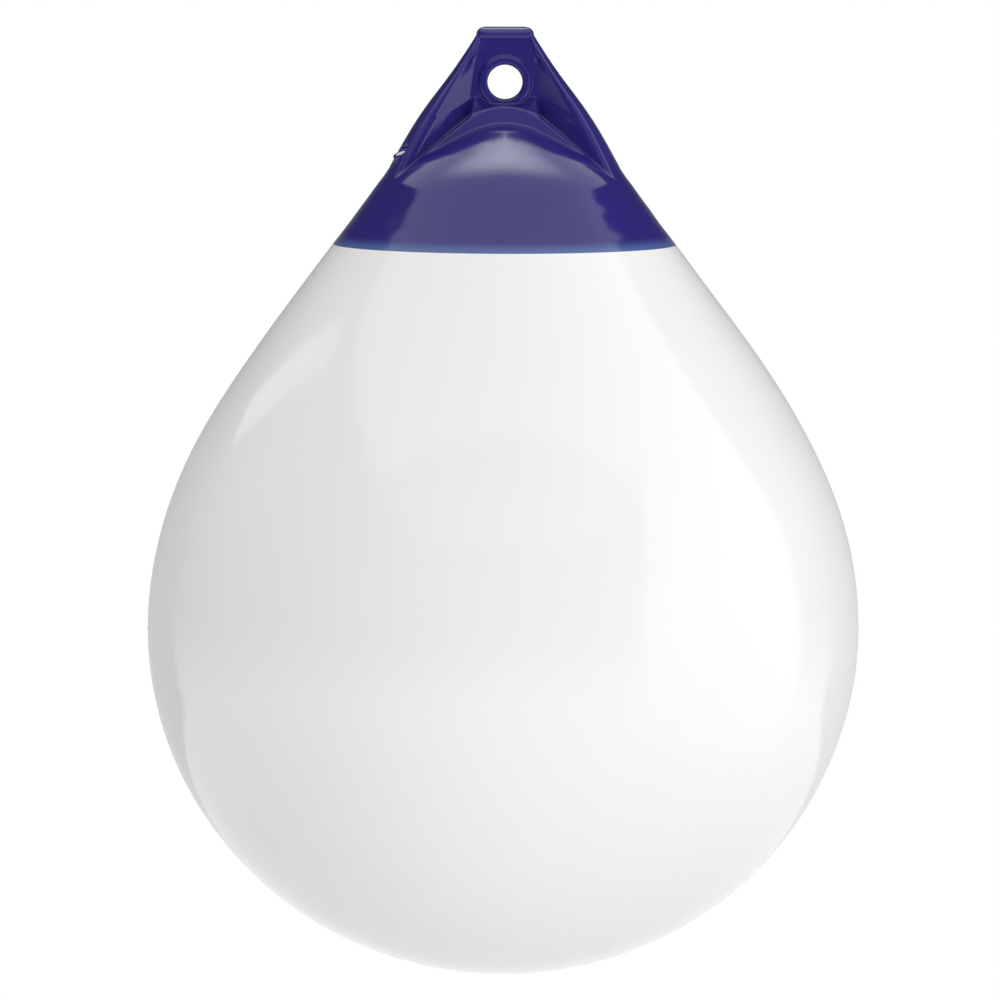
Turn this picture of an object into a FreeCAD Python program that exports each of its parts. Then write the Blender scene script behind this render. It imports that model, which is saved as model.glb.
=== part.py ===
import FreeCAD, Part
import math
import os

from FreeCAD import Vector

# Inflatable vinyl mooring buoy: a teardrop body under a solid moulded rope hold.
# Millimetres, +Z up along the buoy's axis, origin at the centre of the eye.
# The eye runs front to back along Y, and the front faces -Y.

# body, blown up hard and sealed, as one solid
ball_radius = 343.0
equator_z = -527.0
bottom_z = -861.0
ball_handle = 148.0
cone_handle = 122.0
cone_slope = 0.7385
flank_pairs = 2

# skirt, where the rope hold thins out on the cone of the body
skirt_radius = 165.0
skirt_z = -156.0
skirt_edge = 1.2
bond_gap = 0.3

# neck of the body, inside the rope hold
neck_radius = 88.0
neck_z = -79.0

# rope hold: the bar on top and the two wings
top_z = 53.0
bar_height = 8.0
bar_half_length = 27.6
bar_half_depth = 11.5
bar_end_round = 7.0
bar_bead_round = 7.5
wing_start_z = top_z - bar_height
wing_top_handle = 65.0
wing_top_slope = 0.617
wing_foot_handle = 75.0
wing_foot_slope = 0.526
wing_skirt_slope = 0.66
face_slope = 0.27

# rope hold: the knee, where the wings' outer side turns out to the skirt
knee_radius = 111.5
knee_z = -83.5

# rope hold: the shoulder under the wings
dome_radius = 30.0
dome_z = -33.5
dome_bend = 23.6
dome_slope = 1.6
dome_length = 64.3
foot_radius = 123.0
foot_z = -99.5
foot_slope = 0.725
foot_handle = 13.0
skirt_handle = 20.0
skirt_end_slope = 0.79

# rope hold: the pocket on each side of the eye plate
plate_half = 10.5
pocket_roof = 9.5
pocket_bend = 12.0
pocket_top_z = top_z - pocket_roof
pocket_bend_z = pocket_top_z - pocket_bend
pocket_top_half = 24.0
plate_bend_half = 26.5
rim_bend_half = 27.5
plate_foot_half = 32.0
plate_foot_z = -10.7
floor_end_half = 30.0
floor_end_z = -12.0
floor_low_z = -21.0
rim_bow = 2.0
tip_half = 92.2
tip_z = -80.3
crest_end_half = 34.0
crest_end_z = -33.1
crest_z = -22.2
pocket_past_face = 1.5

# eye
eye_radius = 16.8
ring_radius = 25.6
ring_half_length = 14.0
ring_bevel = 2.4
lip_bevel = 2.4

# valve
valve_x = -99.9
valve_y = -26.0
valve_z = -67.3
valve_lean_side = 23.0
valve_lean_front = 13.0
valve_gap = 0.2
plug_radius = 5.0
plug_head = 2.6
plug_sink = 0.3
plug_edge = 0.6
plug_length = 9.0
slot_width = 1.6
slot_depth = 1.2
thread_radius = 3.2
insert_wall = 1.3
insert_length = 11.0
insert_flange = 1.2
recess_room = 0.4
recess_radius = plug_radius + recess_room
insert_depth = plug_sink + plug_head + valve_gap
pad_wall = 2.6
pad_radius = recess_radius + pad_wall
pad_depth = 30.0
passage_radius = 2.5

# bends flatter than this are drawn as straight lines
least_bend = 1e-5


def point(radius, z):
    return Vector(radius, 0, z)


def line(start, end):
    return Part.makeLine(start, end)


def bend(start, corner, end):
    """The arc that leaves start towards the corner and reaches end from it."""
    flat = (end - start).Length / (2 * (corner - start).Length)
    if 1 - flat < least_bend:
        return line(start, end)
    middle = (start + end) * (0.5 / (1 + flat)) + corner * (flat / (1 + flat))
    return Part.Arc(start, middle, end).toShape()


def two_arcs(start, start_way, end, end_way):
    """Two arcs, tangent to each other, that leave start and reach end in the given directions."""
    across = end - start
    turn = 2 * (1 - start_way.dot(end_way))
    along = across.dot(start_way + end_way)
    reach = across.dot(across) / (along + math.sqrt(along**2 + turn * across.dot(across)))
    start_corner = start + start_way * reach
    end_corner = end - end_way * reach
    meeting = (start_corner + end_corner) * 0.5
    return [bend(start, start_corner, meeting), bend(meeting, end_corner, end)]


def flowing(start, start_handle, end_handle, end, pairs):
    """A smooth chain of arcs that follows the Bezier curve of these four points."""
    guide = Part.BezierCurve()
    guide.setPoles([start, start_handle, end_handle, end])
    stations = [guide.getD1(k / pairs) for k in range(pairs + 1)]
    edges = []
    for (a, a_way), (b, b_way) in zip(stations, stations[1:]):
        edges += two_arcs(a, Vector(a_way).normalize(), b, Vector(b_way).normalize())
    return edges


def turned(edges, axis=Vector(0, 0, 1)):
    """A closed outline turned once round an axis through the origin."""
    face = Part.Face(Part.Wire(edges))
    return face.revolve(Vector(0, 0, 0), axis, 360)


def joined(first, *others):
    return first.multiFuse(list(others)).removeSplitter()


def normal(slope):
    """Outward direction of a cone whose radius grows by slope for each millimetre down."""
    length = math.hypot(1, slope)
    return point(1 / length, slope / length)


def downhill(slope):
    """Unit direction down a cone whose radius grows by slope for each millimetre."""
    return point(slope, -1).normalize()


def neck_slope():
    edge = skirt_seat(skirt_edge)
    return (edge.x - neck_radius) / (neck_z - edge.z)


def skirt_seat(depth):
    """The skirt's end on the cone, at a depth under the outer surface."""
    return point(skirt_radius, skirt_z) - normal(cone_slope) * depth


def neck_edges(depth):
    """The cone of the neck and its flat top, from the skirt seat to the axis, at a depth under the neck."""
    start = skirt_seat(skirt_edge + depth)
    flat_z = neck_z - depth
    corner = point(start.x - neck_slope() * (flat_z - start.z), flat_z)
    return [line(start, corner), line(corner, point(0, flat_z))]


def neck_solid(depth):
    """The neck of the body down to the skirt's edge, at a depth under its own surface."""
    edges = neck_edges(depth)
    start = edges[0].Vertexes[0].Point
    top = edges[-1].Vertexes[-1].Point
    foot = point(0, start.z)
    return turned(edges + [line(top, foot), line(foot, start)])


def ball_edges():
    """The ball from its lowest point to its equator, and the cone up to the skirt."""
    low = point(0, bottom_z)
    side = point(ball_radius, equator_z)
    end = skirt_seat(0)
    side_handle = side + point(0, ball_handle)
    end_handle = end + point(cone_slope, -1) * cone_handle
    under = two_arcs(low, point(1, 0), side, point(0, 1))
    return under + flowing(side, side_handle, end_handle, end, flank_pairs)


def valve_axis():
    """Unit vector out of the valve, leaning to the left and to the front."""
    side = math.tan(math.radians(valve_lean_side))
    front = math.tan(math.radians(valve_lean_front))
    return Vector(-side, -front, 1).normalize()


def valve_seat():
    return Vector(valve_x, valve_y, valve_z)


def valve_cylinder(radius, length, start=0.0):
    """A cylinder that goes into the rope hold along the valve's axis, from a depth under the seat."""
    inward = valve_axis() * -1
    return Part.makeCylinder(radius, length, valve_seat() + inward * start, inward)


def make_body():
    step = line(skirt_seat(0), skirt_seat(skirt_edge))
    axis = line(point(0, neck_z), point(0, bottom_z))
    return turned(ball_edges() + [step] + neck_edges(0) + [axis])


def make_shoulder():
    """The dome with its round crown, its turn at the foot, and the skirt down to its edge."""
    corner = point(dome_radius, dome_z)
    dome_way = downhill(dome_slope)
    crown_start = corner - point(dome_bend, 0)
    crown_end = corner + dome_way * dome_bend
    dome_end = corner + dome_way * dome_length
    foot = point(foot_radius, foot_z)
    end = skirt_seat(0)
    foot_along = foot + point(foot_slope, -1) * foot_handle
    end_handle = end - point(skirt_end_slope, -1) * skirt_handle
    edges = [line(point(0, dome_z), crown_start), bend(crown_start, corner, crown_end)]
    edges.append(line(crown_end, dome_end))
    edges += two_arcs(dome_end, dome_way, foot, downhill(foot_slope))
    edges += flowing(foot, foot_along, end_handle, end, 1)
    inner = skirt_seat(skirt_edge - bond_gap)
    inner_foot = point(0, inner.z)
    edges += [line(end, inner), line(inner, inner_foot), line(inner_foot, point(0, dome_z))]
    return turned(edges)


def face_depth(z):
    """How far the sloping front face of the wings lies from the middle, at a height."""
    return bar_half_depth + face_slope * (wing_start_z - z)


def make_wings():
    """A round cone with a bar on top, cut flat by the sloping front and back faces."""
    start = point(bar_half_length, wing_start_z)
    knee = point(knee_radius, knee_z)
    start_handle = start + point(wing_top_slope, -1) * wing_top_handle
    knee_handle_end = knee - point(wing_foot_slope, -1) * wing_foot_handle
    corner = point(bar_half_length, top_z)
    corner_in = corner - point(bar_end_round, 0)
    corner_down = corner - point(0, bar_end_round)
    outline = [line(point(0, top_z), corner_in), bend(corner_in, corner, corner_down)]
    outline.append(line(corner_down, start))
    outline += flowing(start, start_handle, knee_handle_end, knee, 1)
    side_end = knee + point(wing_skirt_slope, -1) * (knee_z - foot_z)
    outline += [line(knee, side_end), line(side_end, point(0, foot_z))]
    outline.append(line(point(0, foot_z), point(0, top_z)))

    bead_low = Vector(0, -bar_half_depth, wing_start_z)
    bead_corner = Vector(0, -bar_half_depth, top_z)
    bead_top = bead_corner + Vector(0, bar_bead_round, 0)
    bead_foot = bead_corner - Vector(0, 0, bar_bead_round)
    foot = Vector(0, -face_depth(foot_z), foot_z)
    section = [
        line(foot, bead_low),
        line(bead_low, bead_foot),
        bend(bead_foot, bead_corner, bead_top),
        line(bead_top, point(0, top_z)),
        line(point(0, top_z), point(0, foot_z)),
        line(point(0, foot_z), foot),
    ]
    width = Vector(2 * foot_radius, 0, 0)
    front = Part.Face(Part.Wire(section)).extrude(width)
    front.translate(width * -0.5)
    back = front.mirror(Vector(0, 0, 0), Vector(0, 1, 0))
    return turned(outline).common(front.fuse(back))


def plate_point(x, z):
    return Vector(x, -plate_half, z)


def rim_point(x, z, start):
    """A point of the pocket's mouth, carried on past the sloping face along its line from the plate."""
    along = Vector(x, -face_depth(z), z) - start
    gap = face_depth(start.z) + start.y
    closing = -along.y + face_slope * along.z
    return start + along * ((gap + pocket_past_face) / closing)


def arc(start, middle, end):
    return Part.Arc(start, middle, end).toShape()


def make_pocket():
    """The hollow in front of the eye plate: side walls, two scoops and an arched floor."""
    plate = [
        plate_point(pocket_top_half, pocket_top_z),
        plate_point(plate_bend_half, pocket_bend_z),
        plate_point(plate_foot_half, plate_foot_z),
        plate_point(floor_end_half, floor_end_z),
    ]
    sizes = [
        (pocket_top_half, pocket_top_z),
        (rim_bend_half, pocket_bend_z),
        (tip_half, tip_z),
        (crest_end_half, crest_end_z),
    ]
    rim = [rim_point(x, z, start) for (x, z), start in zip(sizes, plate)]
    floor_low = plate_point(0, floor_low_z)
    crest = rim_point(0, crest_z, floor_low)
    bow_x = (rim_bend_half + tip_half) / 2 + rim_bow
    bow_z = (pocket_bend_z + tip_z) / 2
    bow = rim_point(bow_x, bow_z, (plate[1] + plate[2]) * 0.5)

    def other(p):
        return Vector(-p.x, p.y, p.z)

    def outline(points, low, bowed):
        right = [line(points[0], points[1]), line(points[1], points[2]), line(points[2], points[3])]
        left = [line(other(points[3]), other(points[2])), line(other(points[2]), other(points[1])),
                line(other(points[1]), other(points[0]))]
        if bowed:
            right[1] = arc(points[1], bow, points[2])
            left[1] = arc(other(points[2]), other(bow), other(points[1]))
        bottom = arc(points[3], low, other(points[3]))
        top = line(other(points[0]), points[0])
        return Part.Wire(right + [bottom] + left + [top])

    return Part.makeLoft([outline(plate, floor_low, False), outline(rim, crest, True)], True, True)


def eye_ring():
    """The boss round the eye, as long as the eye, with bevelled rims."""
    half = ring_half_length
    edges = [line(Vector(0, half, 0), Vector(0, -half, 0))]
    for side in (-1, 1):
        corner = Vector(ring_radius, side * half, 0)
        on_face = corner - Vector(ring_bevel, 0, 0)
        on_side = corner - Vector(0, side * ring_bevel, 0)
        edges.append(line(Vector(0, side * half, 0), on_face))
        edges.append(line(on_face, on_side))
    edges.append(line(Vector(ring_radius, -half + ring_bevel, 0), Vector(ring_radius, half - ring_bevel, 0)))
    return turned(Part.__sortEdges__(edges), Vector(0, 1, 0))


def eye_bore():
    """The hole through the eye, with its lips bevelled."""
    half = ring_half_length
    flare = eye_radius + lip_bevel
    edges = [line(Vector(0, half, 0), Vector(0, -half, 0))]
    for side in (-1, 1):
        on_face = Vector(flare, side * half, 0)
        on_side = Vector(eye_radius, side * (half - lip_bevel), 0)
        edges.append(line(Vector(0, side * half, 0), on_face))
        edges.append(line(on_face, on_side))
    edges.append(line(Vector(eye_radius, -half + lip_bevel, 0), Vector(eye_radius, half - lip_bevel, 0)))
    return turned(Part.__sortEdges__(edges), Vector(0, 1, 0))


def make_rope_hold():
    """Wings, pockets and shoulder as one moulding, hollowed for the neck, the eye and the valve."""
    pocket = make_pocket()
    pockets = pocket.fuse(pocket.mirror(Vector(0, 0, 0), Vector(0, 1, 0)))
    plug_space = valve_cylinder(pad_radius, pad_depth, -pad_depth)
    pad = valve_cylinder(pad_radius, pad_depth)
    hold = joined(make_wings(), make_shoulder()).cut(pockets).cut(plug_space)
    hold = joined(hold, eye_ring(), pad)
    hold = hold.cut(neck_solid(-bond_gap)).cut(eye_bore())
    recess = valve_cylinder(recess_radius, insert_depth + insert_flange + valve_gap)
    socket = valve_cylinder(thread_radius + insert_wall + valve_gap, insert_depth + insert_length + valve_gap)
    return hold.cut(recess.fuse(socket)).cut(valve_cylinder(passage_radius, pad_depth))


def make_valve_insert():
    """The threaded bush that is bonded into the rope hold, at the bottom of its recess."""
    bush = valve_cylinder(thread_radius + insert_wall, insert_length, insert_depth)
    bush = bush.fuse(valve_cylinder(recess_radius - valve_gap, insert_flange, insert_depth))
    return bush.cut(valve_cylinder(thread_radius, insert_length, insert_depth)).removeSplitter()


def make_valve_plug():
    """The slotted screw that closes the valve, with its head sunk in the recess."""
    axis = valve_axis()
    under = valve_seat() - axis * (plug_sink + plug_head)
    head = Part.makeCylinder(plug_radius, plug_head, under, axis)
    rim = [e for e in head.Edges if e.Closed and (e.CenterOfMass - under).Length > plug_head / 2]
    head = head.makeChamfer(plug_edge, rim)
    shank = Part.makeCylinder(thread_radius - valve_gap, plug_length, under, axis * -1)
    slot = Part.makeBox(2 * plug_radius, slot_width, plug_head)
    slot.translate(Vector(-plug_radius, -slot_width / 2, plug_head - slot_depth))
    upright = FreeCAD.Placement(under, FreeCAD.Rotation(Vector(0, 0, 1), axis))
    slot.Placement = upright.multiply(slot.Placement)
    return head.fuse(shank).cut(slot).removeSplitter()


def main():
    os.makedirs("parts", exist_ok=True)
    parts = {
        "body": make_body(),
        "rope_hold": make_rope_hold(),
        "valve_insert": make_valve_insert(),
        "valve_plug": make_valve_plug(),
    }
    for name, shape in parts.items():
        solids = shape.Solids
        print(name, "solids", len(solids), "valid", shape.isValid(), "litres", round(shape.Volume / 1e6, 3))
        shape.exportStep("parts/" + name + ".step")


main()
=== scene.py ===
import math

import bmesh
import bpy
import numpy as np
from mathutils import Matrix, Vector


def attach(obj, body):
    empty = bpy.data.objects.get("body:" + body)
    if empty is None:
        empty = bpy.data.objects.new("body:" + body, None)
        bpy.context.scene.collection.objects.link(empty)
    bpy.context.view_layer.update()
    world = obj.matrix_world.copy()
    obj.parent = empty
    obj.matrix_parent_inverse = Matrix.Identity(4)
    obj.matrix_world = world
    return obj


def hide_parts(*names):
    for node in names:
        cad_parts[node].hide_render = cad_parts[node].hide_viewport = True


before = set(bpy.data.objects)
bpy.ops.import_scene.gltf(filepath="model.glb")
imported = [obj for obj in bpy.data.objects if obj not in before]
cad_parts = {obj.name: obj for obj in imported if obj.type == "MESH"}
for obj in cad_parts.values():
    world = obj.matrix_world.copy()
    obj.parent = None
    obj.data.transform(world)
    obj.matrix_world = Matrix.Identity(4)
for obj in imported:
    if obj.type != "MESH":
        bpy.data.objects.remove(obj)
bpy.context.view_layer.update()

# Millimetres to metres: shapes are worked out in millimetres and written in metres.
MM = 0.001

# body
ball_radius = 343.0
equator_z = -527.0
bottom_z = -861.0
ball_handle = 148.0
cone_handle = 122.0
cone_slope = 0.7385

# body: parting line, at the left side of the equator
parting_height = 0.55
parting_half_width = 0.9
parting_half_angle = math.radians(16)
parting_fade = 0.6
parting_reach = 3 * parting_half_width

# body: swells, which are one wave around and up the body and a weaker one across it
swell_height = 0.35
swell_waves = 3
swell_twist = 61.0
swell_rise = 43.0
swell_start = 1.3
cross_share = 0.6
cross_waves = 5
cross_twist = 37.0
cross_start = 0.7
swell_top_fade = 60.0
swell_middle_fade = 120.0
swell_below_skirt = 0.1
swell_past_axis = 1.0

# skirt and neck
skirt_radius = 165.0
skirt_z = -156.0
skirt_edge = 1.2
bond_gap = 0.3
neck_radius = 88.0
neck_z = -79.0

# rope hold: bar and wings
top_z = 53.0
bar_height = 8.0
bar_half_length = 27.6
bar_half_depth = 11.5
bar_end_round = 7.0
bar_bead_round = 9.5
wing_start_z = top_z - bar_height
wing_top_handle = 65.0
wing_top_slope = 0.617
wing_foot_handle = 75.0
wing_foot_slope = 0.526
wing_skirt_slope = 0.66
wing_above = 20.0
wing_below = 120.0
face_slope = 0.27
rim_round = 2.6

# rope hold: shoulder
knee_radius = 111.5
knee_z = -83.5
dome_radius = 30.0
dome_z = -33.5
dome_bend = 23.6
dome_bend_handle = 0.66 * dome_bend
dome_slope = 1.6
dome_length = 64.3
dome_dip = 1.0
dome_dip_start = 30.0
dome_dip_end = 84.0
foot_radius = 123.0
foot_z = -99.5
foot_slope = 0.725
foot_handle = 13.0
skirt_handle = 20.0
skirt_end_slope = 0.79
skirt_past = 30.0
valley_round = 1.0

# rope hold: ripples of the shoulder, weaker on the left
ripple_height = 0.16
ripple_length = 27.0
ripple_middle = 0.6
ripple_least = 0.25
ripple_top_z = knee_z - 20.0
ripple_top_fade = 15.0
ripple_edge_fade = 12.0

# rope hold: pockets
plate_half = 10.5
pocket_top_z = top_z - 9.5
pocket_bend_z = pocket_top_z - 12.0
pocket_top_half = 24.0
plate_bend_half = 26.5
rim_bend_half = 27.5
plate_foot_half = 32.0
plate_foot_z = -10.7
floor_end_half = 30.0
floor_end_z = -12.0
floor_low_z = -21.0
rim_bow = 2.0
wall_bow = 0.5
# The wall's bow is full from a third of the way down.
wall_bow_growth = 3.0
# Share of a level distance that is square to the wall, and of an upright one to the floor.
wall_lean = 0.75
floor_lean = 0.85
tip_half = 92.2
tip_z = -80.3
crest_end_half = 34.0
crest_end_z = -33.1
crest_z = -22.2
lip_fall = (tip_z - crest_end_z) / (tip_half - crest_end_half)
pocket_corner_round = 0.4
pocket_scoop_round = 4.0
pocket_scoop_fade = 30.0
pocket_step_round = 3.0
pocket_edge_round = 2.2
pocket_past_face = 1.5

# rope hold: eye
eye_radius = 16.8
ring_radius = 25.6
ring_half_length = 14.0
ring_round = 3.6
ring_foot_round = 1.4
lip_round = 2.6

# rope hold: valve seat
valve_seat = np.array((-99.9, -26.0, -67.3))
valve_lean_side = 23.0
valve_lean_front = 13.0
recess_radius = 5.4
recess_depth = 4.5
recess_round = 0.5
pad_wall = 2.6
pad_radius = recess_radius + pad_wall
pad_depth = 30.0
pad_height = 6.0
facing_radius = 10.0
facing_drop = 0.1
pad_round = 0.9

# points of a curved profile
curve_points = 240

# mesh of the body
body_segments = 360
under_points = 110
over_points = 120
seam_points = 19
body_sharp_angle = 40

# mesh of the rope hold
voxel = 1.1
relax_rounds = 3
surface_rounds = 2
slope_step = 0.02
least_slope = 0.1
arch_rounds = 4
core_inset = 0.3
core_stride = 4
core_segments = 180
rod_segments = 48
overlap = 1.0
spare_below = 3.0
head_triangles = 185000
head_sharp_angle = 50


# Profiles

def bezier(start, start_handle, end_handle, end, count=curve_points):
    """Points along the Bezier curve of four (radius, z) points."""
    t = np.linspace(0, 1, count)[:, None]
    poles = [np.array(p, float) for p in (start, start_handle, end_handle, end)]
    weights = ((1 - t) ** 3, 3 * (1 - t) ** 2 * t, 3 * (1 - t) * t**2, t**3)
    return sum(w * p for w, p in zip(weights, poles))


def along(start, slope, drop):
    """The point a drop below start on a line whose radius grows by slope for each millimetre."""
    return (start[0] + slope * drop, start[1] - drop)


def shoulder_profile():
    """(radius, z) from the top of the dome over its foot to past the skirt's edge."""
    corner = (dome_radius, dome_z)
    crown_start = (dome_radius - dome_bend, dome_z)
    crown_handle = (crown_start[0] + dome_bend_handle, dome_z)
    fall = 1 / math.hypot(1, dome_slope)
    crown_end = along(corner, dome_slope, dome_bend * fall)
    crown_end_handle = along(crown_end, dome_slope, -dome_bend_handle * fall)
    crown = bezier(crown_start, crown_handle, crown_end_handle, crown_end)

    dome_end = along(corner, dome_slope, dome_length * fall)
    foot = (foot_radius, foot_z)
    third = (dome_end[1] - foot_z) / 3
    dome_end_handle = along(dome_end, dome_slope, third)
    turn = bezier(dome_end, dome_end_handle, along(foot, foot_slope, -third), foot)

    end = (skirt_radius, skirt_z)
    end_handle = along(end, skirt_end_slope, -skirt_handle)
    skirt = bezier(foot, along(foot, foot_slope, foot_handle), end_handle, end)
    past = [along(end, skirt_end_slope, skirt_past)]
    profile = np.concatenate(([(0, dome_z)], crown, turn, skirt[1:], past))
    across = (profile[:, 0] - dome_dip_start) / (dome_dip_end - dome_dip_start)
    profile[:, 1] -= dome_dip * np.sin(math.pi * np.clip(across, 0, 1)) ** 2
    return profile


def wing_profile():
    """(radius, z) of the wings' outer side, from above the bar to under the shoulder."""
    start = (bar_half_length, wing_start_z)
    start_handle = along(start, wing_top_slope, wing_top_handle)
    knee = (knee_radius, knee_z)
    knee_handle = along(knee, wing_foot_slope, -wing_foot_handle)
    side = bezier(start, start_handle, knee_handle, knee)
    past = [along(knee, wing_skirt_slope, wing_below)]
    return np.concatenate(([(bar_half_length, top_z + wing_above)], side, past))


def body_profile():
    """(radius, z) of the body from its lowest point over the ball and the cone to the neck."""
    turn = np.linspace(0, math.pi / 2, under_points)
    under_z = equator_z + (bottom_z - equator_z) * np.cos(turn)
    under = np.stack((ball_radius * np.sin(turn), under_z), 1)
    side = (ball_radius, equator_z)
    side_handle = (ball_radius, equator_z + ball_handle)
    end = (skirt_radius, skirt_z)
    over = bezier(side, side_handle, along(end, cone_slope, cone_handle), end, over_points)
    seam_z = equator_z + np.linspace(-parting_reach, parting_reach, seam_points)
    seam = np.stack((np.full(seam_points, ball_radius), seam_z), 1)
    under = under[under[:, 1] < equator_z - parting_reach]
    over = over[over[:, 1] > equator_z + parting_reach]
    lean = math.hypot(1, cone_slope)
    step = (skirt_radius - skirt_edge / lean, skirt_z - skirt_edge * cone_slope / lean)
    neck = [step, (neck_radius, neck_z), (0, neck_z)]
    return np.concatenate((under, seam, over, neck))


SHOULDER = shoulder_profile()
SHOULDER_SLOPE = np.gradient(SHOULDER[:, 1], SHOULDER[:, 0])
WING = wing_profile()[::-1]
WING_SLOPE = np.gradient(WING[:, 0], WING[:, 1])


# Surface of the rope hold, as distances in millimetres that are less than zero inside it

def rounded_cut(a, b, radius):
    """Distance to what two solids share, with the edge between them rounded off."""
    corner = np.hypot(np.maximum(a + radius, 0), np.maximum(b + radius, 0))
    return np.minimum(np.maximum(a, b), -radius) + corner


def rounded_join(a, b, radius):
    """Distance to two solids as one, with the valley between them filled to a radius."""
    corner = np.hypot(np.maximum(radius - a, 0), np.maximum(radius - b, 0))
    return np.maximum(np.minimum(a, b), radius) - corner


def face_depth(z):
    """How far the wings' sloping faces stand in front of the middle, and behind it."""
    return bar_half_depth + face_slope * np.maximum(wing_start_z - z, 0)


def wings_distance(r, z, face):
    """Distance to the bar and wings: a curved cone between two faces, rounded at its top."""
    slope = np.interp(z, WING[:, 1], WING_SLOPE)
    side = (r - np.interp(z, WING[:, 1], WING[:, 0])) / np.hypot(1, slope)
    wings = rounded_cut(side, face, rim_round)
    middle = np.clip(-side / bar_bead_round, 0, 1)
    top_round = bar_end_round + (bar_bead_round - bar_end_round) * middle
    return rounded_cut(wings, z - top_z, top_round)


def shoulder_distance(x, r, z):
    """Distance to the dome and skirt, with the skirt's faint ripples."""
    slope = np.interp(r, SHOULDER[:, 0], SHOULDER_SLOPE)
    shoulder = (z - np.interp(r, SHOULDER[:, 0], SHOULDER[:, 1])) / np.hypot(1, slope)
    fade = np.clip((ripple_top_z - z) / ripple_top_fade, 0, 1)
    fade = fade * np.clip((z - skirt_z) / ripple_edge_fade, 0, 1)
    fade = fade * np.clip(ripple_middle + x / skirt_radius, ripple_least, 1)
    wave = np.sin(2 * math.pi * (z - skirt_z) / ripple_length)
    return shoulder - ripple_height * fade * wave


def pocket_wall(depth, z):
    """Half width of the pocket at a depth in front of the plate.

    Under its bend the wall is ruled from the plate's edge to the rim's. The ruling through a
    point starts a share u down both edges, where a * u * u + b * u = mouth * fall.
    """
    fall = np.maximum(pocket_bend_z - z, 0)
    plate_fall = pocket_bend_z - plate_foot_z
    rim_fall = pocket_bend_z - tip_z
    mouth = float(face_depth(pocket_bend_z)) - plate_half
    growth = face_slope * rim_fall
    a = plate_fall * growth
    b = plate_fall * mouth + (rim_fall - plate_fall) * depth - growth * fall
    u = (-b + np.sqrt(b * b + 4 * a * mouth * fall)) / (2 * a)
    t = depth / (mouth + growth * u)
    at_plate = plate_bend_half + (plate_foot_half - plate_bend_half) * u
    at_rim = rim_bend_half + (tip_half - rim_bend_half) * u + 4 * rim_bow * u * (1 - u)
    bow = 4 * wall_bow * t * (1 - t) * np.minimum(1, wall_bow_growth * u)
    lower = at_plate + t * (at_rim - at_plate) - bow

    v = np.clip((pocket_top_z - z) / (pocket_top_z - pocket_bend_z), 0, 1)
    t = depth / (face_depth(z) - plate_half)
    at_plate = pocket_top_half + (plate_bend_half - pocket_top_half) * v
    at_rim = pocket_top_half + (rim_bend_half - pocket_top_half) * v
    upper = at_plate + t * (at_rim - at_plate)
    return np.where(z < pocket_bend_z, lower, upper)


def pocket_arch(depth, ax):
    """Height of the pocket's middle floor, an arch that turns over towards the face.

    The arch's width at a depth depends on how low its rim is there, so the share u of that
    width is found in a few rounds.
    """
    u = ax / floor_end_half
    for _ in range(arch_rounds):
        rim_z = crest_z + (crest_end_z - crest_z) * u * u
        t = depth / (face_depth(rim_z) - plate_half)
        u = np.minimum(ax / (floor_end_half + t * (crest_end_half - floor_end_half)), 1)
    return (1 - t) * (floor_low_z + (floor_end_z - floor_low_z) * u * u) + t * rim_z


def lip_height(ax):
    """Height of the lip, and of the scoop's floor behind it, at a distance from the middle."""
    return crest_end_z + lip_fall * (ax - crest_end_half)


def pocket_distance(ax, ay, z):
    """Distance to the pocket in front of the eye plate, and to its twin behind."""
    depth = np.maximum(ay - plate_half, 0)
    wall = (ax - pocket_wall(depth, z)) * wall_lean
    floor = (pocket_arch(depth, ax) - z) * floor_lean
    middle = rounded_cut(wall, floor, pocket_corner_round)

    fade = np.clip((z - tip_z) / pocket_scoop_fade, 0, 1)
    scoop_floor = (lip_height(ax) - z) / math.hypot(1, lip_fall)
    scoop = rounded_cut(wall, scoop_floor, pocket_scoop_round * fade)
    share = depth / (face_depth(z) - plate_half)
    inner = floor_end_half + share * (crest_end_half - floor_end_half)
    scoop = rounded_cut(scoop, inner - ax, pocket_corner_round)

    pocket = rounded_join(middle, scoop, pocket_step_round)
    pocket = rounded_cut(pocket, z - pocket_top_z, pocket_corner_round)
    return rounded_cut(pocket, plate_half - ay, pocket_corner_round)


def with_eye(head, x, ay, z):
    """The head with the boss around its eye and the eye's hole."""
    reach = np.hypot(x, z)
    ring = rounded_cut(reach - ring_radius, ay - ring_half_length, ring_round)
    head = rounded_join(head, ring, ring_foot_round)
    return rounded_cut(head, eye_radius - reach, lip_round)


def valve_axis():
    """The way that the valve points, out of its seat."""
    side = math.tan(math.radians(valve_lean_side))
    front = math.tan(math.radians(valve_lean_front))
    return np.array(Vector((-side, -front, 1)).normalized())


def with_valve_seat(head, points):
    """The head with the valve's pad, the flat faced off around it, and its recess."""
    offset = points - valve_seat
    height = offset @ valve_axis()
    across = np.sqrt(np.maximum((offset * offset).sum(1) - height * height, 0))
    pad = np.maximum(np.maximum(across - pad_radius, height - pad_height), -height - pad_depth)
    head = rounded_join(head, pad, pad_round)
    facing = np.maximum(across - facing_radius, -height - facing_drop)
    head = rounded_cut(head, -facing, pad_round)
    recess = np.maximum(across - recess_radius, -height - recess_depth)
    return rounded_cut(head, -recess, recess_round)


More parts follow.
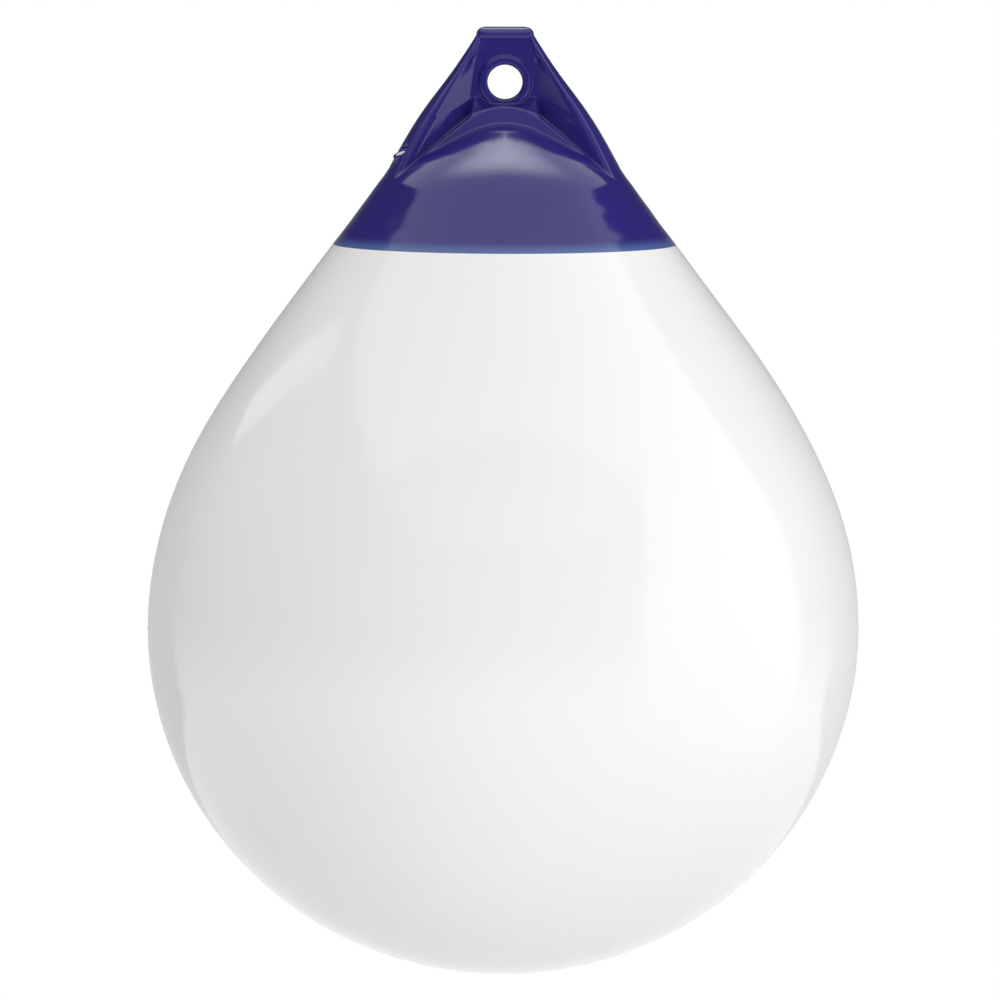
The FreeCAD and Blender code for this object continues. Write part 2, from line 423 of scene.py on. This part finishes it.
def head_distance(points):
    """Distance to the whole rope hold."""
    x, y, z = points.T
    ax = np.abs(x)
    ay = np.abs(y)
    r = np.hypot(x, y)
    face = (ay - face_depth(z)) / math.hypot(1, face_slope)
    wings = wings_distance(r, z, face)
    head = rounded_join(wings, shoulder_distance(x, r, z), valley_round)
    pocket = np.maximum(pocket_distance(ax, ay, z), face - pocket_past_face)
    head = rounded_cut(head, -pocket, pocket_edge_round)
    head = with_eye(head, x, ay, z)
    return with_valve_seat(head, points)


def onto_surface(points, distance):
    """Points moved along the slope of a distance function until they lie on its surface."""
    for _ in range(surface_rounds):
        here = distance(points)
        slope = np.empty_like(points)
        for k in range(3):
            shift = np.zeros(3)
            shift[k] = slope_step
            slope[:, k] = (distance(points + shift) - distance(points - shift)) / (2 * slope_step)
        size = np.maximum((slope * slope).sum(1), least_slope)
        move = slope * (here / size)[:, None]
        far = np.maximum(np.linalg.norm(move, axis=1), 1e-9)
        points = points - move * np.minimum(1, voxel / far)[:, None]
    return points


# Mesh tools

def link(name, mesh):
    """A new object of a mesh or a camera, in the scene."""
    piece = bpy.data.objects.new(name, mesh)
    bpy.context.scene.collection.objects.link(piece)
    return piece


def flat_mesh(name, verts, faces, material):
    """A mesh of flat faces in one material."""
    mesh = bpy.data.meshes.new(name)
    mesh.from_pydata(verts, [], faces)
    mesh.materials.append(material)
    return mesh


def mesh_points(mesh):
    """The mesh's vertices in millimetres."""
    points = np.empty(len(mesh.vertices) * 3)
    mesh.vertices.foreach_get("co", points)
    return points.reshape(-1, 3) / MM


def set_points(mesh, points):
    mesh.vertices.foreach_set("co", (points * MM).ravel())
    mesh.update()


def lathe(name, profile, segments):
    """A closed mesh turned from (radius, z) points that run up from the axis and back to it."""
    turns = np.arange(segments) * (2 * math.pi / segments)
    rings = profile[1:-1]
    verts = [(0, 0, profile[0][1])]
    for radius, z in rings:
        verts += [(radius * math.cos(a), radius * math.sin(a), z) for a in turns]
    verts.append((0, 0, profile[-1][1]))
    last = len(verts) - 1
    faces = []
    for k in range(segments):
        n = (k + 1) % segments
        faces.append((0, 1 + n, 1 + k))
        for ring in range(len(rings) - 1):
            a = 1 + ring * segments
            faces.append((a + k, a + n, a + segments + n, a + segments + k))
        a = 1 + (len(rings) - 1) * segments
        faces.append((last, a + k, a + n))
    mesh = bpy.data.meshes.new(name)
    mesh.from_pydata([tuple(c * MM for c in v) for v in verts], [], faces)
    return mesh


def with_modifier(piece, kind, **settings):
    """The piece's mesh with one modifier applied."""
    modifier = piece.modifiers.new(kind, kind)
    for key, value in settings.items():
        setattr(modifier, key, value)
    graph = bpy.context.evaluated_depsgraph_get()
    mesh = bpy.data.meshes.new_from_object(piece.evaluated_get(graph))
    piece.modifiers.clear()
    old = piece.data
    piece.data = mesh
    bpy.data.meshes.remove(old)
    return mesh


def relaxed(mesh, points):
    """Each point moved half way to the middle of its neighbours."""
    edges = np.empty(len(mesh.edges) * 2, np.int32)
    mesh.edges.foreach_get("vertices", edges)
    a, b = edges.reshape(-1, 2).T
    size = len(points)
    count = np.bincount(a, minlength=size) + np.bincount(b, minlength=size)
    total = np.zeros_like(points)
    for k in range(3):
        total[:, k] = np.bincount(a, points[b, k], size) + np.bincount(b, points[a, k], size)
    return (points + total / count[:, None]) / 2


def smooth_shading(mesh, sharp_degrees):
    mesh.shade_smooth()
    mesh.set_sharp_from_angle(angle=math.radians(sharp_degrees))


# Rope hold

def core():
    """A turned solid just inside the dome and skirt, down to past the skirt's edge."""
    outline = SHOULDER[::core_stride] - (core_inset, 0)
    outline[0, 0] = 0
    outline = np.concatenate((outline, [(0, outline[-1, 1])]))
    return lathe("core", outline[::-1], core_segments)


def valve_filler():
    """A rod that fills the valve's socket and passage, under its recess."""
    radius = recess_radius + overlap
    outline = [(0, -pad_depth), (radius, -pad_depth), (radius, -recess_depth), (0, -recess_depth)]
    rod = lathe("rod", outline, rod_segments)
    turn = Vector((0, 0, 1)).rotation_difference(Vector(valve_axis()))
    rod.transform(Matrix.Translation(Vector(valve_seat) * MM) @ turn.to_matrix().to_4x4())
    return rod


def scoop_cutters():
    """Four wedges of the space between each scoop's floor in the CAD solid and its lip's height."""
    corners = [
        (floor_end_half, plate_half, floor_end_z + overlap),
        (plate_foot_half, plate_half, plate_foot_z + overlap),
        (floor_end_half, plate_half, crest_end_z),
        (crest_end_half + overlap, plate_half, crest_end_z),
        (crest_end_half, face_depth(crest_end_z), crest_end_z),
        (tip_half, face_depth(tip_z), tip_z),
    ]
    wedges = bmesh.new()
    for side in (-1, 1):
        for way in (-1, 1):
            places = [(side * x * MM, way * y * MM, z * MM) for x, y, z in corners]
            bmesh.ops.convex_hull(wedges, input=[wedges.verts.new(p) for p in places])
    bmesh.ops.recalc_face_normals(wedges, faces=wedges.faces)
    mesh = bpy.data.meshes.new("scoops")
    wedges.to_mesh(mesh)
    wedges.free()
    return link("scoops", mesh)


def filled(mesh):
    """The CAD solid's mesh joined with what fills its hollow underneath and its valve socket."""
    joined = bmesh.new()
    for part in (mesh, core(), valve_filler()):
        joined.from_mesh(part)
    result = bpy.data.meshes.new("rope_hold_moulding")
    joined.to_mesh(result)
    joined.free()
    return result


def drop_below(mesh):
    """Takes off the faces well under the skirt's edge, and gives the number of triangles left."""
    above = bmesh.new()
    above.from_mesh(mesh)
    limit = (skirt_z - spare_below) * MM
    low = [f for f in above.faces if max(v.co.z for v in f.verts) < limit]
    bmesh.ops.delete(above, geom=low, context="FACES")
    bmesh.ops.triangulate(above, faces=above.faces)
    above.to_mesh(mesh)
    count = len(above.faces)
    above.free()
    return count


def on_ring(vert, radius, z):
    """The vertex's place when it is moved out or in to a level ring around the axis."""
    flat = Vector((vert.co.x, vert.co.y)).normalized() * (radius * MM)
    return (flat.x, flat.y, z * MM)


def close_under(mesh):
    """Cuts the moulding off at the skirt's edge and closes it over the neck."""
    shape = bmesh.new()
    shape.from_mesh(mesh)
    bmesh.ops.bisect_plane(
        shape, geom=shape.verts[:] + shape.edges[:] + shape.faces[:],
        plane_co=(0, 0, skirt_z * MM), plane_no=(0, 0, 1), clear_inner=True,
    )
    lean = math.hypot(1, cone_slope)
    thin = skirt_edge - bond_gap
    inner = (skirt_radius - thin / lean, skirt_z - thin * cone_slope / lean)
    neck_top = neck_z + bond_gap
    stops = [inner, (neck_radius + bond_gap, neck_top), (0.0, neck_top)]
    loop = [e for e in shape.edges if e.is_boundary]
    for vert in set(v for e in loop for v in e.verts):
        vert.co = on_ring(vert, skirt_radius, skirt_z)
    for radius, z in stops:
        grown = bmesh.ops.extrude_edge_only(shape, edges=loop)["geom"]
        loop = [g for g in grown if isinstance(g, bmesh.types.BMEdge)]
        ring = [g for g in grown if isinstance(g, bmesh.types.BMVert)]
        for vert in ring:
            vert.co = on_ring(vert, radius, z)
    bmesh.ops.pointmerge(shape, verts=ring, merge_co=(0, 0, neck_top * MM))
    bmesh.ops.recalc_face_normals(shape, faces=shape.faces)
    shape.to_mesh(mesh)
    shape.free()


def make_head():
    """The rope hold: the CAD solid remeshed fine, then laid on its rounded surface."""
    piece = link("rope_hold_moulding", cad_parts["rope_hold"].data.copy())
    cutters = scoop_cutters()
    with_modifier(piece, "BOOLEAN", object=cutters, operation="DIFFERENCE", solver="EXACT")
    bpy.data.objects.remove(cutters)
    piece.data = filled(piece.data)

    mesh = with_modifier(piece, "REMESH", mode="VOXEL", voxel_size=voxel * MM)
    points = mesh_points(mesh)
    for _ in range(relax_rounds):
        points = onto_surface(relaxed(mesh, points), head_distance)
    set_points(mesh, points)

    share = head_triangles / drop_below(mesh)
    mesh = with_modifier(piece, "DECIMATE", ratio=min(1, share))
    set_points(mesh, onto_surface(mesh_points(mesh), head_distance))
    close_under(mesh)
    smooth_shading(mesh, head_sharp_angle)
    return piece


# Body

def make_body():
    """The envelope: a fine turned mesh with its parting line and slight swells."""
    mesh = lathe("body_envelope", body_profile(), body_segments)
    points = mesh_points(mesh)
    x, y, z = points.T
    turn = np.arctan2(y, x)
    r = np.hypot(x, y)

    from_left = np.abs(np.arctan2(y, -x))
    strength = np.clip(1 - from_left / parting_half_angle, 0, 1) ** parting_fade
    across = (z - equator_z) / parting_half_width
    parting = parting_height * strength * np.exp(-across ** 2)

    free = np.clip((skirt_z - z) / swell_top_fade, 0, 1) * np.clip(r / swell_middle_fade, 0, 1)
    swell = np.sin(swell_waves * turn + z / swell_twist) * np.sin(z / swell_rise + swell_start)
    swell += cross_share * np.sin(cross_waves * turn - z / cross_twist + cross_start)

    outside = (z < skirt_z - swell_below_skirt) & (r > swell_past_axis)
    out = np.where(outside, parting + swell_height * free * swell, 0)
    scale = 1 + out / np.maximum(r, 1)
    points[:, 0] *= scale
    points[:, 1] *= scale
    set_points(mesh, points)
    smooth_shading(mesh, body_sharp_angle)
    return link("body_envelope", mesh)


# Node tools

class Graph:
    """The nodes of a material or the world, emptied down to a new output node."""

    def __init__(self, owner, output):
        owner.use_nodes = True
        self.nodes = owner.node_tree.nodes
        self.links = owner.node_tree.links
        self.nodes.clear()
        self.output = self.nodes.new(output)

    def add(self, kind, inputs, **settings):
        """A new node, where an input is a number, a vector, a colour or a node's output."""
        node = self.nodes.new(kind)
        for name, value in settings.items():
            setattr(node, name, value)
        for key, value in inputs.items():
            socket = node.inputs[key]
            if isinstance(value, bpy.types.NodeSocket):
                self.links.new(value, socket)
            elif socket.type == "RGBA":
                socket.default_value = (*value, 1)
            else:
                socket.default_value = value
        return node

    def finish(self, shader):
        self.links.new(shader.outputs[0], self.output.inputs["Surface"])


def new_material(name):
    material = bpy.data.materials.new(name)
    return material, Graph(material, "ShaderNodeOutputMaterial")


def object_place(graph):
    return graph.add("ShaderNodeTexCoord", {}).outputs["Object"]


def axes_of(graph, place):
    return graph.add("ShaderNodeSeparateXYZ", {0: place}).outputs


def length_of(graph, place):
    return graph.add("ShaderNodeVectorMath", {0: place}, operation="LENGTH").outputs["Value"]


def combined(graph, operation, first, second):
    return graph.add("ShaderNodeMath", {0: first, 1: second}, operation=operation).outputs[0]


def noise(graph, place, scale, detail):
    inputs = {"Vector": place, "Scale": scale, "Detail": detail}
    return graph.add("ShaderNodeTexNoise", inputs).outputs["Fac"]


def ranged(graph, value, span, result):
    """Goes smoothly between the result's two numbers as the value goes through the span."""
    inputs = {"Value": value}
    inputs["From Min"], inputs["From Max"] = span
    inputs["To Min"], inputs["To Max"] = result
    node = graph.add("ShaderNodeMapRange", inputs, interpolation_type="SMOOTHSTEP")
    return node.outputs["Result"]


def blended(graph, factor, first, second):
    """A colour between two, where each is a colour or another node's output.

    The mix node's sockets share their names, so its two colours and their result go by number.
    """
    inputs = {0: factor, 6: first, 7: second}
    return graph.add("ShaderNodeMix", inputs, data_type="RGBA").outputs[2]


def bumped(graph, bumps):
    """A normal with bumps from (height output, depth in metres) pairs."""
    normal = None
    for height, depth in bumps:
        inputs = {"Strength": 1, "Distance": depth, "Height": height}
        if normal:
            inputs["Normal"] = normal
        normal = graph.add("ShaderNodeBump", inputs).outputs["Normal"]
    return normal


# Materials: colours, then roughness at both ends of its noise, then depths of bumps in metres

WHITE = (0.875, 0.865, 0.85)
WHITE_WARM = (0.88, 0.862, 0.852)
BLUE = (0.025, 0.019, 0.175)
BLUE_DEEP = (0.022, 0.017, 0.160)
BLUE_THIN = (0.075, 0.125, 0.33)
PLUG_WHITE = (0.86, 0.86, 0.85)
PLUG_WORN = tuple(0.93 * c for c in PLUG_WHITE)
WHITE_ROUGHNESS = (0.1, 0.14)
BLUE_ROUGHNESS = (0.09, 0.13)
PLUG_ROUGHNESS = (0.25, 0.32)
WHITE_SKIN = 0.000012
BLUE_SKIN = 0.00001
BLUE_FLOW = 0.00006
PLUG_SKIN = 0.00001
VINYL_IOR = 1.5
# Height of the skirt's edge where the thin vinyl looks paler, in millimetres.
THIN_HEIGHT = 11.0
# Most of a noise's values lie in the first span, and the clouds of the white use its middle.
NOISE_SPAN = (0.3, 0.7)
WHITE_SPAN = (0.35, 0.65)


def white_vinyl():
    material, graph = new_material("white_vinyl")
    place = object_place(graph)
    cloud = ranged(graph, noise(graph, place, scale=5, detail=3), WHITE_SPAN, (0, 1))
    wear = noise(graph, place, scale=9, detail=4)
    skin = noise(graph, place, scale=600, detail=2)
    shader = graph.add("ShaderNodeBsdfPrincipled", {
        "Base Color": blended(graph, cloud, WHITE, WHITE_WARM),
        "Roughness": ranged(graph, wear, NOISE_SPAN, WHITE_ROUGHNESS),
        "IOR": VINYL_IOR,
        "Normal": bumped(graph, [(skin, WHITE_SKIN)]),
    })
    graph.finish(shader)
    return material


def blue_vinyl():
    """Dark blue, and paler in the thin edge of the skirt, where the white shows through."""
    material, graph = new_material("blue_vinyl")
    place = object_place(graph)
    cloud = ranged(graph, noise(graph, place, scale=22, detail=3), NOISE_SPAN, (0, 1))
    thin_span = (skirt_z * MM, (skirt_z + THIN_HEIGHT) * MM)
    thin = ranged(graph, axes_of(graph, place)["Z"], thin_span, (1, 0))
    wear = noise(graph, place, scale=30, detail=4)
    skin = noise(graph, place, scale=900, detail=2)
    flow = noise(graph, place, scale=60, detail=2)
    shader = graph.add("ShaderNodeBsdfPrincipled", {
        "Base Color": blended(graph, thin, blended(graph, cloud, BLUE, BLUE_DEEP), BLUE_THIN),
        "Roughness": ranged(graph, wear, NOISE_SPAN, BLUE_ROUGHNESS),
        "IOR": VINYL_IOR,
        "Normal": bumped(graph, [(skin, BLUE_SKIN), (flow, BLUE_FLOW)]),
    })
    graph.finish(shader)
    return material


def plug_plastic(name):
    material, graph = new_material(name)
    place = object_place(graph)
    shade = noise(graph, place, scale=300, detail=2)
    skin = noise(graph, place, scale=1500, detail=2)
    shader = graph.add("ShaderNodeBsdfPrincipled", {
        "Base Color": blended(graph, shade, PLUG_WHITE, PLUG_WORN),
        "Roughness": ranged(graph, shade, NOISE_SPAN, PLUG_ROUGHNESS),
        "Normal": bumped(graph, [(skin, PLUG_SKIN)]),
    })
    graph.finish(shader)
    return material


# Stage: background, floor and walls, in metres

STUDIO_GREY = 0.62
PURE_WHITE = (1, 1, 1)
FLOOR_Z = -2.1
FLOOR_RADIUS = 9.0
FLOOR_SEGMENTS = 96
FLOOR_PALE = (0.8, 0.8, 0.8)
# How much of the floor is the background's white, from near the middle to far out.
FLOOR_FADE_SPAN = (0.6, 3.0)
FLOOR_FADE = (0.6, 1)
WALL_RADIUS = 6.0
WALL_STEPS = 48
CEILING_Z = 2.7
WALL_GREY = 0.04
WALL_LOW_GREY = 0.75
WALL_LOW_TOP = -0.3
# The wall behind the buoy is lighter in this span of Y and fades out over this span of Z.
WALL_BACK_GREY = 0.7
WALL_BACK_SPAN = (2.5, 5.0)
WALL_BACK_FADE = (-1.0, -0.4)


def ray_switch(graph):
    """1 for rays that should see the white background, 0 for the rays that light things."""
    path = graph.add("ShaderNodeLightPath", {})
    total = path.outputs["Is Camera Ray"]
    for name in ("Is Glossy Ray", "Is Transmission Ray"):
        total = combined(graph, "MAXIMUM", total, path.outputs[name])
    return total


def mixed_shader(graph, factor, first, second):
    inputs = {0: factor, 1: first.outputs[0], 2: second.outputs[0]}
    return graph.add("ShaderNodeMixShader", inputs)


def make_world():
    """White where it is seen, and a plain grey light elsewhere."""
    world = bpy.data.worlds.new("studio")
    bpy.context.scene.world = world
    graph = Graph(world, "ShaderNodeOutputWorld")
    light = graph.add("ShaderNodeBackground", {"Color": (STUDIO_GREY,) * 3})
    white = graph.add("ShaderNodeBackground", {"Color": PURE_WHITE})
    graph.finish(mixed_shader(graph, ray_switch(graph), light, white))


def make_floor():
    """A pale round floor that fades into the white of the background."""
    material, graph = new_material("floor")
    pale = graph.add("ShaderNodeBsdfDiffuse", {"Color": FLOOR_PALE})
    white = graph.add("ShaderNodeEmission", {})
    fade = ranged(graph, length_of(graph, object_place(graph)), FLOOR_FADE_SPAN, FLOOR_FADE)
    factor = combined(graph, "MULTIPLY", fade, ray_switch(graph))
    graph.finish(mixed_shader(graph, factor, pale, white))

    mesh = bpy.data.meshes.new("floor")
    shape = bmesh.new()
    bmesh.ops.create_circle(shape, cap_ends=True, segments=FLOOR_SEGMENTS, radius=FLOOR_RADIUS)
    shape.to_mesh(mesh)
    shape.free()
    mesh.materials.append(material)
    floor = link("floor", mesh)
    floor.location.z = FLOOR_Z


def make_walls():
    """Dark studio walls and a ceiling, which only reflections see, lighter low down and behind."""
    material, graph = new_material("walls")
    axes = axes_of(graph, object_place(graph))
    low = ranged(graph, axes["Z"], (FLOOR_Z, WALL_LOW_TOP), (WALL_LOW_GREY, WALL_GREY))
    behind = ranged(graph, axes["Y"], WALL_BACK_SPAN, (0, 1))
    back = ranged(graph, axes["Z"], WALL_BACK_FADE, (WALL_BACK_GREY, 0))
    back = combined(graph, "MULTIPLY", back, behind)
    grey = combined(graph, "MAXIMUM", low, back)
    graph.finish(graph.add("ShaderNodeEmission", {"Strength": grey}))

    verts = []
    for k in range(WALL_STEPS):
        turn = 2 * math.pi * k / WALL_STEPS
        x = WALL_RADIUS * math.cos(turn)
        y = WALL_RADIUS * math.sin(turn)
        verts += [(x, y, FLOOR_Z), (x, y, CEILING_Z)]
    count = len(verts)
    faces = [(k, (k + 2) % count, (k + 3) % count, k + 1) for k in range(0, count, 2)]
    faces.append(tuple(range(1, count, 2)))
    walls = link("walls", flat_mesh("walls", verts, faces, material))
    walls.visible_camera = False
    walls.visible_diffuse = False
    walls.visible_shadow = False
    walls.visible_transmission = False


# Lights, in metres. A level softbox: half its width, its front and back edges, and its height.

OVERHEAD = (2.8, -2.2, 3.0, 2.6)
OVERHEAD_SEEN = 1.2
FRONT_TOP = (2.8, -5.4, -2.2, 2.6)
FRONT_TOP_SEEN = 0.5
# A patch: its middle, its half sizes, where 0 is without end, and the strength in its middle.
OVERHEAD_PATCH = ((0.0, 1.0, 0.0), (1.7, 0.95, 0.0), 4.6)
# An upright softbox: distance from the axis, turn from the front to the right, and corners.
PANEL_DISTANCE = 2.0
PANEL_TURN = 75.0
PANEL_OUTLINE = ((-1.3, -1.65), (1.1, -1.65), (1.1, 2.4), (0.0, 2.0), (-0.85, 1.15), (-1.3, -0.3))
PANEL_SEEN = 1.3
STRIP_DISTANCE = 3.2
STRIP_TURN = -120.0
STRIP_OUTLINE = ((-1.6, -0.15), (-1.1, -0.15), (1.0, 2.55), (0.5, 2.55), (-0.5, 1.35))
STRIP_SEEN = 1.0
# Close behind the body, where it lightens the reflections along the body's outline.
RIM_DISTANCE = 0.6
RIM_TURN = 180.0
RIM_OUTLINE = ((-1.1, -0.9), (1.1, -0.9), (1.1, 0.05), (-1.1, 0.05))
RIM_PATCH = ((0.0, 0.0, -0.9), (1.4, 0.0, 1.15), 0.95)
RIM_EDGE = 0.0
# What lights the colours, and doesn't show in reflections.
TOP_LIGHT = 0.9
FRONT_LIGHT = 1.77
CORNER_LIGHT = 2.2
RIGHT_LIGHT = 2.9
LEFT_LIGHT = 3.3
LIGHT_DISTANCE = 3.7
LOW_OUTLINE = ((-1.3, -1.6), (1.3, -1.6), (1.3, 1.0), (-1.3, 1.0))
MIDDLE_OUTLINE = ((-1.3, 0.0), (1.3, 0.0), (1.3, 2.5), (-1.3, 2.5))
HIGH_OUTLINE = ((-1.3, 1.1), (1.3, 1.1), (1.3, 2.6), (-1.3, 2.6))


def level_corners(x, front, back, z):
    return [(-x, front, z), (x, front, z), (x, back, z), (-x, back, z)]


def upright_corners(distance, turn_degrees, outline):
    """Corners of an upright panel that faces the buoy's axis, from (aside, height) pairs."""
    turn = math.radians(turn_degrees)
    side = Vector((math.cos(turn), math.sin(turn), 0))
    middle = Vector((math.sin(turn), -math.cos(turn), 0)) * distance
    return [middle + side * aside + Vector((0, 0, height)) for aside, height in outline]


def patched(graph, edge, place, size, middle):
    """A strength that goes from its middle value to its edge value over an oval patch."""
    scale = [1 / length if length else 0 for length in size]
    inputs = {
        "Vector": object_place(graph),
        "Location": [-c * s for c, s in zip(place, scale)],
        "Scale": scale,
    }
    spread = graph.add("ShaderNodeMapping", inputs)
    return ranged(graph, length_of(graph, spread.outputs["Vector"]), (0, 1), (middle, edge))


def emitter(name, corners, strength, glossy, patch=None):
    """A flat softbox that either shows in reflections or lights the diffuse colours.

    It hides the background behind it from the rays that it meets, so its strength is all the
    light that comes from there.
    """
    material, graph = new_material(name)
    if patch:
        strength = patched(graph, strength, *patch)
    graph.finish(graph.add("ShaderNodeEmission", {"Strength": strength}))
    piece = link(name, flat_mesh(name, corners, [tuple(range(len(corners)))], material))
    piece.visible_camera = False
    piece.visible_shadow = False
    piece.visible_glossy = glossy
    piece.visible_diffuse = not glossy


def make_lights():
    emitter("overhead", level_corners(*OVERHEAD), OVERHEAD_SEEN, True, OVERHEAD_PATCH)
    emitter("front_top", level_corners(*FRONT_TOP), FRONT_TOP_SEEN, True)
    panel = upright_corners(PANEL_DISTANCE, PANEL_TURN, PANEL_OUTLINE)
    emitter("right_panel", panel, PANEL_SEEN, True)
    strip = upright_corners(STRIP_DISTANCE, STRIP_TURN, STRIP_OUTLINE)
    emitter("left_strip", strip, STRIP_SEEN, True)
    rim = upright_corners(RIM_DISTANCE, RIM_TURN, RIM_OUTLINE)
    emitter("rim_panel", rim, RIM_EDGE, True, RIM_PATCH)
    emitter("top_light", level_corners(*OVERHEAD), TOP_LIGHT, False)
    for name, turn, outline, strength in (
        ("front_light", 0, LOW_OUTLINE, FRONT_LIGHT),
        ("corner_light", 45, LOW_OUTLINE, CORNER_LIGHT),
        ("right_light", 110, MIDDLE_OUTLINE, RIGHT_LIGHT),
        ("left_light", -110, HIGH_OUTLINE, LEFT_LIGHT),
    ):
        emitter(name, upright_corners(LIGHT_DISTANCE, turn, outline), strength, False)


# Camera: metres and degrees

CAMERA_DISTANCE = 8.0
CAMERA_ELEVATION = 5.0
CAMERA_ROLL = 0.18
FRAME_WIDTH = 0.965
TARGET = (-0.0035, 0.0, -0.4033)
CLIP_END = 100.0


def make_camera():
    data = bpy.data.cameras.new("camera")
    data.angle = 2 * math.atan(FRAME_WIDTH / 2 / CAMERA_DISTANCE)
    data.clip_end = CLIP_END
    camera = link("camera", data)
    lift = math.radians(CAMERA_ELEVATION)
    target = Vector(TARGET)
    camera.location = target + Vector((0, -math.cos(lift), math.sin(lift))) * CAMERA_DISTANCE
    facing = (target - camera.location).to_track_quat("-Z", "Y").to_matrix().to_4x4()
    roll = Matrix.Rotation(math.radians(CAMERA_ROLL), 4, "Z")
    camera.matrix_world = Matrix.Translation(camera.location) @ facing @ roll
    bpy.context.scene.camera = camera


def dress(node, material):
    """Gives a CAD node its material."""
    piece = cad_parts[node]
    piece.data.materials.clear()
    piece.data.materials.append(material)


def main():
    bpy.context.scene.view_settings.view_transform = "Standard"
    make_camera()
    make_world()
    make_floor()
    make_walls()
    make_lights()

    body = make_body()
    body.data.materials.append(white_vinyl())
    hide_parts("body")
    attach(body, "root")

    head = make_head()
    head.data.materials.clear()
    head.data.materials.append(blue_vinyl())
    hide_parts("rope_hold")
    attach(head, "root")

    dress("valve_insert", plug_plastic("valve_bush"))
    dress("valve_plug", plug_plastic("valve_screw"))


main()
